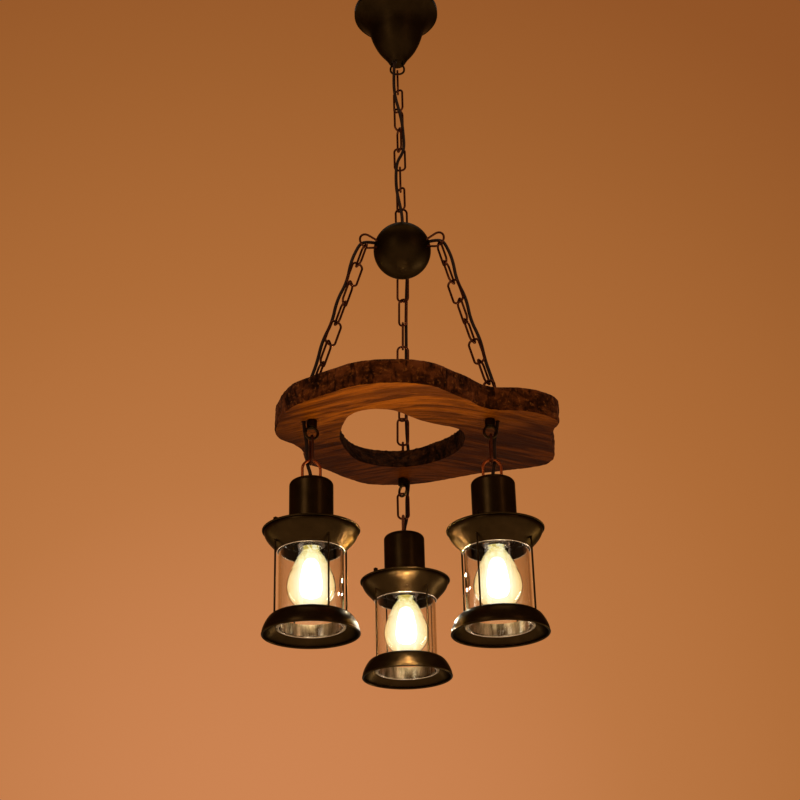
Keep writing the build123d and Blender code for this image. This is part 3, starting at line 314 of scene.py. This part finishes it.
def glowing(name, low, high, strength, alpha):
    """Light held in the bulb, its colour uneven in soft patches, yellower and crumpled towards the neck."""
    paint = Paint(name, Base_Color=(0.02, 0.015, 0.01, 1.0), Roughness=0.6, Alpha=alpha,
                  Emission_Strength=strength, Specular_IOR_Level=0.0)
    tone = paint.ramp(paint.noise(45.0, 2.0), (0.3, low), (0.7, high))
    creased = paint.noise(95.0, 3.0, 0.6, 1.5, paint.mapped((1.0, 1.0, 0.6)))
    neck = paint.ramp(
        creased, (0.42, (0.66, 0.50, 0.10)), (0.50, (1.0, 0.86, 0.36)), (0.58, (1.0, 0.97, 0.66))
    )
    _, _, z = paint.split(paint.place)
    level = paint.math("ADD", z, paint.math("MULTIPLY", creased, 0.02))
    height = paint.ramp(paint.math("MULTIPLY", paint.math("ADD", level, 0.905), 30.0), (0.0, 0.0), (1.0, 1.0))
    paint.link(paint.mix(height, tone, neck), paint.shader.inputs["Emission Color"])
    return paint.material


# Width against the bulb's, lowest and highest point above the lantern's rim, and material
GLOW = [
    (0.97, 30.6, 109.5, glowing("bulb_glow_outer", (1.0, 0.74, 0.31), (1.0, 0.81, 0.38), 1.9, 0.25)),
    (0.86, 34.0, 108.0, glowing("bulb_glow_wide", (1.0, 0.82, 0.48), (1.0, 0.88, 0.56), 1.05, 0.30)),
    (0.73, 38.0, 106.5, glowing("bulb_glow_middle", (1.0, 0.93, 0.72), (1.0, 0.98, 0.80), 1.05, 0.40)),
    (0.60, 42.0, 104.0, glowing("bulb_glow_inner", (0.97, 0.97, 1.0), (1.0, 1.0, 1.0), 1.25, 0.60)),
    (0.46, 46.0, 96.0, glowing("bulb_glow_core", (1.0, 0.97, 0.88), (1.0, 0.99, 0.94), 120.0, 1.0)),
]
support_glow = glowing("bulb_support_lit", (0.55, 0.56, 0.12), (1.0, 0.88, 0.40), 0.9, 1.0)

# What each carried-over piece is made of
NODE_MATERIALS = {
    "canopy": dull_black, "canopy_loop": black_metal, "canopy_screws": screw_metal,
    "cable_bush": black_plastic, "loop_nuts": zinc, "ceiling_bracket": zinc, "terminal_block": pale_plastic,
    "top_link": chain_metal, "main_chain": chain_metal, "hub_upper": dull_black, "hub_lower": dull_black,
    "hub_loop": chain_metal, "side_loops": chain_metal, "wire_splice": pale_plastic,
    "upper_eyes": chain_metal, "lower_eyes": black_metal, "upper_chains": chain_metal,
}
LANTERN_MATERIALS = {
    "hanger_link": chain_metal, "cap_nipple": chain_metal, "lantern_cap": black_metal,
    "lamp_holder": holder_brown, "top_plate": black_metal, "crown_bowl": black_metal, "chimney": glass,
    "cage_rods": black_metal, "rod_nut": black_metal, "bulb_glass": bulb_shell,
    "bulb_base": bulb_base_metal, "cap_loop": copper,
}
for arm in ARMS:
    for piece, material in LANTERN_MATERIALS.items():
        NODE_MATERIALS[f"{piece}_{arm}"] = material
    NODE_MATERIALS[f"base_skirt_{arm}"] = skirt_metal(arm)
NODE_MATERIALS["cap_loop_back"] = dark_copper
for name, material in NODE_MATERIALS.items():
    data = NODES[name].data
    data.materials.clear()
    data.materials.append(material)


# Geometry helpers
def new_object(name, data, *materials):
    piece = bpy.data.objects.new(name, data)
    bpy.context.scene.collection.objects.link(piece)
    for material in materials:
        data.materials.append(material)
    return piece


def closed_spline(points, count):
    """Evenly spaced points along the smooth closed curve through some points, as CAD draws it."""
    p = np.array(points, float)
    n = len(p)
    h = np.linalg.norm(np.roll(p, -1, 0) - p, axis=1)
    slope = (np.roll(p, -1, 0) - p) / h[:, None]
    system = np.zeros((n, n))
    for i in range(n):
        system[i, i - 1] += h[i - 1]
        system[i, i] += 2 * (h[i - 1] + h[i])
        system[i, (i + 1) % n] += h[i]
    bend = np.linalg.solve(system, 6 * (slope - np.roll(slope, 1, 0)))
    dense = []
    for i in range(n):
        j = (i + 1) % n
        for t in np.arange(0, 1, 1 / 60):
            a, b = 1 - t, t
            spot = a * p[i] + b * p[j] + ((a**3 - a) * bend[i] + (b**3 - b) * bend[j]) * h[i] ** 2 / 6
            dense.append(spot)
    dense = np.array(dense)
    steps = np.linalg.norm(np.roll(dense, -1, 0) - dense, axis=1)
    along = np.concatenate([[0], np.cumsum(steps)])
    looped = np.vstack([dense, dense[:1]])
    wanted = np.arange(count) * along[-1] / count
    return np.stack([np.interp(wanted, along, looped[:, k]) for k in range(2)], 1)


# Slab: its outline and hole as in the CAD part, with bark and worn edges
OUTLINE = [(-128.6, -117.1), (-107, -134), (-81, -152.5), (-57, -167.6), (-32.4, -174.4), (-0.6, -176.1)]
OUTLINE += [(26.9, -171.8), (49.8, -159.1), (69.5, -140), (88.2, -122.3), (103.6, -104.4), (113.8, -98.2)]
OUTLINE += [(140, -94.8), (174.2, -85.2), (203.3, -50.9), (197.9, -28.9), (197, -12.9), (201.8, 26.7)]
OUTLINE += [(205.2, 63.3), (196.8, 83.5), (172.5, 95.5), (150.5, 102.3), (103.2, 116), (66.5, 132.7)]
OUTLINE += [(37.5, 146), (9.2, 153.4), (-19.8, 154.8), (-49, 150.5), (-70.6, 135.2), (-90.4, 116.5)]
OUTLINE += [(-108.3, 94.4), (-126.4, 79.9), (-132, 64.7), (-135.8, 25.8), (-141.5, 14.3), (-157.6, -4.1)]
OUTLINE += [(-164.6, -25.4), (-160, -55), (-145, -95)]
HOLE_BELOW = [(-79, -18), (-75.7, -39), (-70, -64), (-55, -89), (-33, -97.5), (-13, -95), (12, -74.5)]
HOLE_BELOW += [(44.6, -51), (73, -36), (81, 0), (72, 36), (50, 63), (15, 84), (-25, 84), (-57, 65), (-73, 28)]
HOLE_ABOVE = [(-81, -12), (-77, -37), (-70, -64), (-55, -89), (-33, -97.5), (-13, -95), (12, -74.5)]
HOLE_ABOVE += [(44.6, -51), (73, -32), (80, 10), (70, 48), (45, 76), (12, 100.5), (-26, 104)]
HOLE_ABOVE += [(-64, 84), (-80, 42)]
# Points round each line and rows of points up each wall
OUTLINE_POINTS, OUTLINE_ROWS = 760, 22
HOLE_POINTS, HOLE_ROWS = 420, 18
SHAFT_POINTS = 24
SHAFT_RADIUS = 3.0
THICKNESS = 32.0
# The circle on which the eyes sit, how far under the slab a link hangs in its eye, and the place of each
# cable's hole, outward and aside of its eye
HANG_RADIUS = 130.6
EYE_DROP = 25.5
HOLE_OFFSET = {"left": (8.0, -8.0), "back": (8.0, -8.0), "right": (6.0, 10.0)}
TILT = Matrix.Rotation(SLAB_TILT, 3, "Y")
UP = TILT @ Vector((0.0, 0.0, 1.0))
FACING = {arm: Vector((cos(radians(turn)), sin(radians(turn)), 0.0)) for arm, turn in ARMS.items()}
ACROSS = {arm: Vector((-facing.y, facing.x, 0.0)) for arm, facing in FACING.items()}
HINGES = {arm: JOINTS[f"link_swing_{arm}"] / MM for arm in ARMS}
SLAB_ORIGIN = HINGES["left"] + UP * EYE_DROP - TILT @ (FACING["left"] * HANG_RADIUS)
SLAB = Matrix.Translation(SLAB_ORIGIN) @ TILT.to_4x4()
CABLE_HOLES = {
    arm: FACING[arm] * (HANG_RADIUS + HOLE_OFFSET[arm][0]) + ACROSS[arm] * HOLE_OFFSET[arm][1] for arm in ARMS
}


def spot_noise(x, y, z, scale, depth=4):
    return noise.fractal(Vector((x, y, z)) * scale, 1.0, 2.0, depth)


def wall(lower, upper, rows, inset, sign):
    """Rows of points up a wall from one closed line to another, each moved off the plain wall by inset."""
    tangent = np.roll(lower, -1, 0) - np.roll(lower, 1, 0)
    normal = np.stack([tangent[:, 1], -tangent[:, 0]], 1)
    normal /= np.linalg.norm(normal, axis=1)[:, None]
    made = []
    for row in range(rows + 1):
        t = row / rows
        line = []
        for i, (low, high) in enumerate(zip(lower, upper)):
            x, y = low * (1 - t) + high * t
            push = inset(x, y, t)
            line.append((x + sign * normal[i, 0] * push, y + sign * normal[i, 1] * push, THICKNESS * t))
        made.append(line)
    return made


def bark_inset(x, y, t):
    """How far the bark lies inside the outline: lumps, grooves and a slightly rounded rim, never outside."""
    lumps = 0.5 + 0.5 * spot_noise(x, y, 55 * t, 1 / 26.0, 3)
    fine = 0.5 + 0.5 * spot_noise(x + 300, y, 32 * t, 1 / 6.5, 4)
    rim = max(0.0, 1 - min(t, 1 - t) * 9.0) ** 2
    return max(0.0, 2.1 * lumps + 1.5 * fine - 1.0) + 1.5 * rim


def hole_inset(x, y, t):
    """How far the hole's wall is worn back: rough, with small ragged teeth along its upper rim."""
    rough = 0.5 + 0.5 * spot_noise(x, y + 500, 45 * t, 1 / 15.0, 4)
    ragged = max(0.0, spot_noise(x, y + 900, 20 * t, 1 / 5.0, 3)) * max(0.0, (t - 0.7) / 0.3)
    rim = max(0.0, 1 - min(t, 1 - t) * 10.0) ** 2
    return 1.4 * rough + 0.7 * rim - 3.0 * ragged


def make_slab():
    mesh = bmesh.new()
    outline = closed_spline(OUTLINE, OUTLINE_POINTS)
    outer = wall(outline, outline, OUTLINE_ROWS, bark_inset, -1)
    below, above = closed_spline(HOLE_BELOW, HOLE_POINTS), closed_spline(HOLE_ABOVE, HOLE_POINTS)
    inner = wall(below, above, HOLE_ROWS, hole_inset, 1)
    turns = np.arange(SHAFT_POINTS) * 2 * pi / SHAFT_POINTS
    shafts = []
    for spot in CABLE_HOLES.values():
        ring = [(spot.x + SHAFT_RADIUS * cos(a), spot.y + SHAFT_RADIUS * sin(a)) for a in turns]
        shafts.append([[(x, y, z) for x, y in ring] for z in (0.0, THICKNESS)])
    # The slots of the mesh: underside, bark, hole and shafts, top
    edges = {0: [], 1: []}
    for rows, index, outward in [(outer, 1, True), (inner, 2, False)] + [(s, 2, False) for s in shafts]:
        grid = [[mesh.verts.new(point) for point in row] for row in rows]
        count = len(grid[0])
        for low, high in zip(grid, grid[1:]):
            for i in range(count):
                j = (i + 1) % count
                corners = [low[i], low[j], high[j], high[i]]
                face = mesh.faces.new(corners if outward else corners[::-1])
                face.material_index = index
                face.smooth = True
        for end, row in ((0, grid[0]), (1, grid[-1])):
            for i in range(count):
                edge = mesh.edges.get((row[i], row[(i + 1) % count]))
                edge.smooth = False
                edges[end].append(edge)
    for end, material_index, up in ((0, 0, -1), (1, 3, 1)):
        filled = bmesh.ops.triangle_fill(mesh, use_beauty=True, edges=edges[end], normal=(0, 0, up))
        for face in filled["geom"]:
            if isinstance(face, bmesh.types.BMFace):
                face.material_index = material_index
                face.normal_update()
                if face.normal.z * up < 0:
                    face.normal_flip()
    mesh.transform(Matrix.Scale(MM, 4) @ SLAB)
    data = bpy.data.meshes.new("live_edge_slab")
    mesh.to_mesh(data)
    mesh.free()
    return new_object("live_edge_slab", data, underside, bark_edge, hole_wall, topside)


slab = make_slab()
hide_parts("wood_slab")
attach(slab, "pendant")

# Cables: round; the main cable and each lantern's cable are cut in two
CABLE_RADIUS = 2.25
CABLE_SPLIT = -133.0


def cable_part(name, points, keep_above=None, keep_below=None):
    """A cable as a mesh along a smooth line, cut level where another piece of the same cable goes on."""
    curve = bpy.data.curves.new(name + "_line", "CURVE")
    curve.dimensions = "3D"
    spline = curve.splines.new("NURBS")
    spline.points.add(len(points) - 1)
    for point, spot in zip(spline.points, points):
        point.co = (*[value * MM for value in spot], 1.0)
    spline.order_u = 3
    spline.use_endpoint_u = True
    spline.resolution_u = 10
    curve.bevel_depth = CABLE_RADIUS * MM
    curve.bevel_resolution = 4
    curve.use_fill_caps = True
    holder = bpy.data.objects.new(name + "_line", curve)
    bpy.context.scene.collection.objects.link(holder)
    bpy.context.view_layer.update()
    data = bpy.data.meshes.new_from_object(holder.evaluated_get(bpy.context.evaluated_depsgraph_get()))
    bpy.data.objects.remove(holder)
    mesh = bmesh.new()
    mesh.from_mesh(data)
    bmesh.ops.remove_doubles(mesh, verts=mesh.verts, dist=1e-6)
    for level, side in ((keep_above, -1), (keep_below, 1)):
        if level is not None:
            everything = mesh.verts[:] + mesh.edges[:] + mesh.faces[:]
            cut = bmesh.ops.bisect_plane(
                mesh, geom=everything, plane_co=(0, 0, level * MM), plane_no=(0, 0, side), clear_outer=True
            )
            rim = [e for e in cut["geom_cut"] if isinstance(e, bmesh.types.BMEdge)]
            bmesh.ops.holes_fill(mesh, edges=rim)
    for face in mesh.faces:
        face.smooth = True
    mesh.to_mesh(data)
    mesh.free()
    data.name = name
    data.materials.clear()
    return new_object(name, data, cable_sheath)


MAIN_CABLE = [(-4.2, -5.4, -10.3), (-4.2, -5.3, -50.0), (-4.2, -5.4, -98.0), (-5.4, -4.4, -122.0)]
MAIN_CABLE += [(-5.8, -3.8, -146.0), (-3.0, -6.0, -168.0), (0.5, -6.4, -184.0), (4.6, -3.6, -205.0)]
MAIN_CABLE += [(5.8, -2.4, -222.0), (7.0, -4.4, -248.0), (3.6, -7.2, -263.0), (-3.0, -6.4, -274.0)]
MAIN_CABLE += [(-5.8, -5.0, -288.0), (-6.2, -3.4, -317.0), (-3.4, -5.6, -338.0), (-0.5, -7.5, -356.0)]
MAIN_CABLE += [(1.2, -8.6, -370.0), (1.4, -8.7, -389.5), (1.4, -8.4, -408.5)]
upper_main = cable_part("main_cable_upper", MAIN_CABLE, keep_above=CABLE_SPLIT)
lower_main = cable_part("main_cable_lower", MAIN_CABLE, keep_below=CABLE_SPLIT)
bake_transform(upper_main)
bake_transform(lower_main)
for piece in (upper_main, lower_main):
    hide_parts("main_cable")

# Three arms: the ball's loops, each chain's length, the side of it on which its cable runs, and the
# direction from the lantern's axis in which the cable passes the link. Points at the ball are outward, aside
# and up; points beside a chain are along it, outward and aside.
BALL = Vector((0.0, 0.0, -420.0))
LOOP_REACH = 56.0
ARM_LENGTH = 254.7
CABLE_SIDE = {"left": -1.0, "back": -1.0, "right": 1.0}
CABLE_TURN = {"left": 150.0, "back": 45.0, "right": 50.0}
AT_BALL = [(7.0, 7.0, 7.0), (26.0, 7.2, 6.6), (45.5, 7.0, 5.2), (60.0, 6.8, 0.5)]
BESIDE_CHAIN = [(15.0, 7.6, 5.7), (42.0, 9.6, 4.8), (75.0, 5.0, 4.5), (110.0, 9.4, 4.8), (145.0, 5.0, 4.5)]
BESIDE_CHAIN += [(180.0, 8.8, 4.8), (212.0, 5.4, 4.6), (238.0, 5.2, 5.6)]
# How far a lantern's second hinge and its cap's top are under its first hinge, and its rim under that top
SECOND_HINGE = 33.7
CAP_BELOW_HINGE = 58.65
RIM_BELOW_CAP = 197.5

for arm, facing in FACING.items():
    hinge = HINGES[arm]
    foot = hinge + UP * EYE_DROP
    aside = ACROSS[arm] * CABLE_SIDE[arm]
    start = BALL + facing * LOOP_REACH
    rise = (foot - start).dot(UP)
    eye = foot + UP * (-rise - sqrt(rise**2 - (foot - start).length ** 2 + ARM_LENGTH**2))
    run = (eye - start).normalized()
    out = (facing - run * facing.dot(run)).normalized()
    hole = SLAB @ CABLE_HOLES[arm]
    route = [BALL + facing * r + aside * t + Vector((0, 0, z)) for r, t, z in AT_BALL]
    route += [start + run * a + out * n + aside * t for a, n, t in BESIDE_CHAIN]
    route += [hole + UP * (THICKNESS + 8.0), hole + UP * (THICKNESS / 2 + 0.1)]
    upper = cable_part(f"slab_cable_{arm}", route)
    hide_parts("upper_cables")
    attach(upper, "pendant")

    cap_z = hinge.z - CAP_BELOW_HINGE
    turned = radians(CABLE_TURN[arm])
    beside_link = Vector((cos(turned), sin(turned), 0.0))
    axis = Vector((hinge.x, hinge.y, 0.0))
    route = [hole + UP * (THICKNESS / 2 - 0.1), hole - UP * 6.0]
    below_slab = [(7.2, hinge.z - 2.0), (7.1, cap_z + 40.0), (6.6, cap_z + 26.0), (0.0, cap_z + 8.0)]
    below_slab += [(0.0, cap_z - 10.5)]
    route += [axis + beside_link * off_axis + Vector((0, 0, z)) for off_axis, z in below_slab]
    split = hinge.z - SECOND_HINGE / 2
    above = cable_part(f"lantern_cable_upper_{arm}", route, keep_above=split)
    below = cable_part(f"lantern_cable_lower_{arm}", route, keep_below=split)
    level = hinge * MM
    reach = Vector((0, 0, 0.011))
    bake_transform(above)
    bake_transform(below)
    for piece in (above, below):
        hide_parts("lantern_cables")

# Light inside the bulbs: nested soft bodies round a bright core, and the lit stem with the wires that hold
# the filament. Each profile is (radius, height above the lantern's rim).
BULB = [(0.0, 30.0), (11.5, 32.3), (21.2, 38.8), (27.7, 48.5), (30.0, 60.0), (28.3, 71.0), (24.0, 82.0)]
BULB += [(18.8, 93.0), (14.8, 102.0), (12.5, 110.0)]
STEM = [(0.0, 99.5), (3.0, 100.0), (5.0, 101.5), (4.2, 103.5), (6.8, 105.0), (6.0, 107.0), (9.0, 109.0)]
STEM += [(10.5, 113.0), (0.0, 113.5)]
STEM_WIRE = [(4.0, 103.0), (9.5, 102.0), (13.0, 97.0), (15.5, 89.0)]
WIRE_SIDES = 8
CUP_LIP = 38.4
CUP_BOTTOM = 9.2


def add_tube(mesh, points, radius):
    """A thin round wire through some points, in millimetres."""
    turns = [2 * pi * k / WIRE_SIDES for k in range(WIRE_SIDES)]
    rings = []
    for i, spot in enumerate(points):
        along = (points[min(i + 1, len(points) - 1)] - points[max(i - 1, 0)]).normalized()
        side = along.orthogonal().normalized()
        other = along.cross(side)
        rings.append([mesh.verts.new((spot + (side * cos(a) + other * sin(a)) * radius) * MM) for a in turns])
    for low, high in zip(rings, rings[1:]):
        for k in range(WIRE_SIDES):
            j = (k + 1) % WIRE_SIDES
            mesh.faces.new((low[k], low[j], high[j], high[k]))
    mesh.faces.new(rings[0][::-1])
    mesh.faces.new(rings[-1])


def add_lathe(mesh, profile, centre, sides):
    """A closed round body turned from (radius, height) points."""
    rings = []
    for r, z in profile:
        if r < 0.01:
            rings.append([mesh.verts.new((centre + Vector((0, 0, z))) * MM)])
        else:
            turns = (2 * pi * k / sides for k in range(sides))
            rings.append([mesh.verts.new((centre + Vector((r * cos(a), r * sin(a), z))) * MM) for a in turns])
    for low, high in zip(rings, rings[1:]):
        for i in range(sides):
            j = (i + 1) % sides
            corners = [low[i % len(low)], low[j % len(low)], high[j % len(high)], high[i % len(high)]]
            mesh.faces.new(list(dict.fromkeys(corners)))


def finished(mesh, name, material, arm):
    """A smooth piece of one lantern, from a mesh being built."""
    bmesh.ops.recalc_face_normals(mesh, faces=mesh.faces)
    for face in mesh.faces:
        face.smooth = True
    data = bpy.data.meshes.new(name)
    mesh.to_mesh(data)
    mesh.free()
    piece = new_object(name, data, material)
    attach(piece, f"lantern_{arm}")


def glow_profile(factor, low, high):
    """The bulb's profile, narrower by a factor, between two heights and with rounded ends."""
    rs, zs = zip(*BULB)
    made = [(0.0, low)]
    for k in range(1, 32):
        t = 0.5 - 0.5 * cos(pi * k / 32)
        z = low + (high - low) * t
        made.append((factor * float(np.interp(z, zs, rs)) * (1 - (2 * t - 1) ** 8) ** 0.5, z))
    return made + [(0.0, high)]


def circle(radius, height, wire):
    """A round wire ring as (radius, height) points."""
    turns = [2 * pi * k / 12 for k in range(13)]
    return [(radius + wire * cos(a), height + wire * sin(a)) for a in turns]


# Rolled lips round the bowl's mouth and under the skirt's cup, in bright metal that is a painted highlight of
# the bulb's light
LIPS = [("bowl_lip", circle(41.4, 104.8, 0.65)), ("cup_lip", circle(CUP_LIP + 0.5, CUP_BOTTOM - 0.5, 0.6))]

for arm in ARMS:
    centre = HINGES[arm] - Vector((0, 0, CAP_BELOW_HINGE + RIM_BELOW_CAP))
    for name, profile in LIPS:
        mesh = bmesh.new()
        add_lathe(mesh, profile, centre, sides=96)
        bmesh.ops.remove_doubles(mesh, verts=mesh.verts, dist=1e-7)
        finished(mesh, f"{name}_{arm}", lip_highlight_metal, arm)
    for count, (factor, low, high, material) in enumerate(GLOW):
        mesh = bmesh.new()
        add_lathe(mesh, glow_profile(factor, low, high), centre, sides=48)
        finished(mesh, f"bulb_glow_{count}_{arm}", material, arm)
    mesh = bmesh.new()
    add_lathe(mesh, STEM, centre, sides=24)
    for k in range(4):
        a = radians(45 + 90 * k)
        reach = Vector((cos(a), sin(a), 0.0))
        add_tube(mesh, [centre + reach * r + Vector((0, 0, z)) for r, z in STEM_WIRE], 0.5)
    finished(mesh, f"bulb_stem_{arm}", support_glow, arm)

# Floor and room
FLOOR_HALF = 12.0
FLOOR_LEVEL = -1.75
floor_mesh = bmesh.new()
bmesh.ops.create_grid(floor_mesh, x_segments=60, y_segments=60, size=FLOOR_HALF)
floor_data = bpy.data.meshes.new("floor")
floor_mesh.to_mesh(floor_data)
floor_mesh.free()
floor_paint = Paint("floor_pale", Roughness=0.6)
patches = floor_paint.noise(3.0, 3.0)
floor_paint.colour(floor_paint.ramp(patches, (0.3, (0.64, 0.53, 0.40)), (0.7, (0.68, 0.57, 0.44))))
floor = new_object("floor", floor_data, floor_paint.material)
floor.location = (0.0, 0.0, FLOOR_LEVEL)

# The backdrop is a soft tan glow behind the object, seen by the camera, in gloss and through glass
BACKDROP = [
    (-1.0, (0.110, 0.054, 0.022)), (0.10, (0.120, 0.056, 0.022)), (0.60, (0.225, 0.072, 0.019)),
    (0.78, (0.275, 0.084, 0.019)), (0.815, (0.290, 0.091, 0.021)), (0.868, (0.345, 0.117, 0.028)),
    (0.927, (0.425, 0.150, 0.039)), (0.967, (0.495, 0.183, 0.055)), (1.0, (0.61, 0.232, 0.086)),
]
GLOW_AZIMUTH = radians(-6.0)
GLOW_ELEVATION = radians(8.0)
world = bpy.data.worlds.new("room")
bpy.context.scene.world = world
world.use_nodes = True
tree = world.node_tree
tree.nodes.clear()
coordinates = tree.nodes.new("ShaderNodeTexCoord")
toward_glow = tree.nodes.new("ShaderNodeVectorMath")
toward_glow.operation = "DOT_PRODUCT"
toward_glow.inputs[1].default_value = (
    sin(GLOW_AZIMUTH) * cos(GLOW_ELEVATION), cos(GLOW_AZIMUTH) * cos(GLOW_ELEVATION), sin(GLOW_ELEVATION)
)
tree.links.new(coordinates.outputs["Generated"], toward_glow.inputs[0])
spread = tree.nodes.new("ShaderNodeMapRange")
spread.inputs["From Min"].default_value = -1.0
spread.inputs["From Max"].default_value = 1.0
tree.links.new(toward_glow.outputs["Value"], spread.inputs["Value"])
backdrop = tree.nodes.new("ShaderNodeValToRGB")
elements = backdrop.color_ramp.elements
while len(elements) < len(BACKDROP):
    elements.new(0.5)
for element, (level, colour) in zip(elements, BACKDROP):
    element.position = (level + 1.0) / 2.0
    element.color = (*colour, 1.0)
tree.links.new(spread.outputs["Result"], backdrop.inputs["Fac"])
shown = tree.nodes.new("ShaderNodeBackground")
tree.links.new(backdrop.outputs["Color"], shown.inputs["Color"])
soft = tree.nodes.new("ShaderNodeBackground")
soft.inputs["Color"].default_value = (1.0, 0.93, 0.84, 1.0)
soft.inputs["Strength"].default_value = 1.0
path = tree.nodes.new("ShaderNodeLightPath")
seen = path.outputs["Is Camera Ray"]
for kind in ("Is Glossy Ray", "Is Transmission Ray"):
    either = tree.nodes.new("ShaderNodeMath")
    either.operation = "MAXIMUM"
    tree.links.new(seen, either.inputs[0])
    tree.links.new(path.outputs[kind], either.inputs[1])
    seen = either.outputs[0]
choose = tree.nodes.new("ShaderNodeMixShader")
tree.links.new(seen, choose.inputs["Fac"])
tree.links.new(soft.outputs[0], choose.inputs[1])
tree.links.new(shown.outputs[0], choose.inputs[2])
out_node = tree.nodes.new("ShaderNodeOutputWorld")
tree.links.new(choose.outputs[0], out_node.inputs["Surface"])


# Soft lamps, all turned to the lanterns
LAMP_TARGET = Vector((0.0, 0.0, -0.78))


def area_light(name, place, size, power, colour=(1.0, 0.86, 0.68)):
    data = bpy.data.lights.new(name, "AREA")
    data.shape = "RECTANGLE"
    data.size, data.size_y = size
    data.energy = power
    data.color = colour
    lamp = bpy.data.objects.new(name, data)
    bpy.context.scene.collection.objects.link(lamp)
    lamp.location = place
    lamp.rotation_mode = "QUATERNION"
    lamp.rotation_quaternion = (LAMP_TARGET - Vector(place)).to_track_quat("-Z", "Y")
    lamp.visible_camera = False


area_light("top", (0.0, 0.15, 0.8), (1.3, 1.3), 6.5)
area_light("front_left", (-1.1, -1.65, -0.15), (0.6, 1.0), 3.4)
area_light("front_right", (1.3, -1.35, -0.15), (0.2, 1.0), 1.0, (1.0, 0.62, 0.42))
area_light("low_left", (-1.2, 0.65, -1.3), (0.12, 0.8), 1.0, (1.0, 0.95, 0.85))
area_light("low_right", (1.1, 0.7, -1.3), (0.14, 0.8), 4.0, (1.0, 0.95, 0.85))

# The bulbs' light on each other's lanterns, as small lamps between them. Each has a place, a power, a radius,
# and whether it is seen in gloss only or in diffuse light only.
GLOSS_LEVELS = (-0.900, -0.950)
GLOSS_SPOTS = ((-0.038, -0.020), (0.034, -0.020), (-0.002, 0.026))
BETWEEN = [((x, y, z), 0.32, 0.003, True) for z in GLOSS_LEVELS for x, y in GLOSS_SPOTS]
BETWEEN += [((-0.008, 0.0, -0.92), 0.35, 0.04, False)]
for place, power, size, for_gloss in BETWEEN:
    between = bpy.data.lights.new("bulbs", "POINT")
    between.energy = power
    between.shadow_soft_size = size
    between.color = (1.0, 0.85, 0.62)
    lamp = bpy.data.objects.new("bulbs", between)
    bpy.context.scene.collection.objects.link(lamp)
    lamp.location = place
    lamp.visible_camera = False
    lamp.visible_transmission = False
    lamp.visible_glossy = for_gloss
    lamp.visible_diffuse = not for_gloss

# Camera fitted to the photo's lantern circles; its angles are in radians
CAMERA_SPOT = (0.0, -1.7983, -1.50615)
PITCH, ROLL, YAW = 0.444252, -0.024895, -0.0045856
camera_data = bpy.data.cameras.new("camera")
camera_data.sensor_width = 36.0
camera_data.lens = 67.5
camera_data.clip_start = 0.01
camera_data.clip_end = 50.0
camera = bpy.data.objects.new("camera", camera_data)
bpy.context.scene.collection.objects.link(camera)
ahead = Vector((sin(YAW) * cos(PITCH), cos(YAW) * cos(PITCH), sin(PITCH)))
right = Vector((cos(YAW), -sin(YAW), 0.0))
above = right.cross(ahead)
side = cos(ROLL) * right + sin(ROLL) * above
over = -sin(ROLL) * right + cos(ROLL) * above
aim = Matrix((side, over, -ahead)).transposed().to_4x4()
camera.matrix_world = Matrix.Translation(CAMERA_SPOT) @ aim
bpy.context.scene.camera = camera

bpy.context.scene.view_settings.view_transform = "Standard"
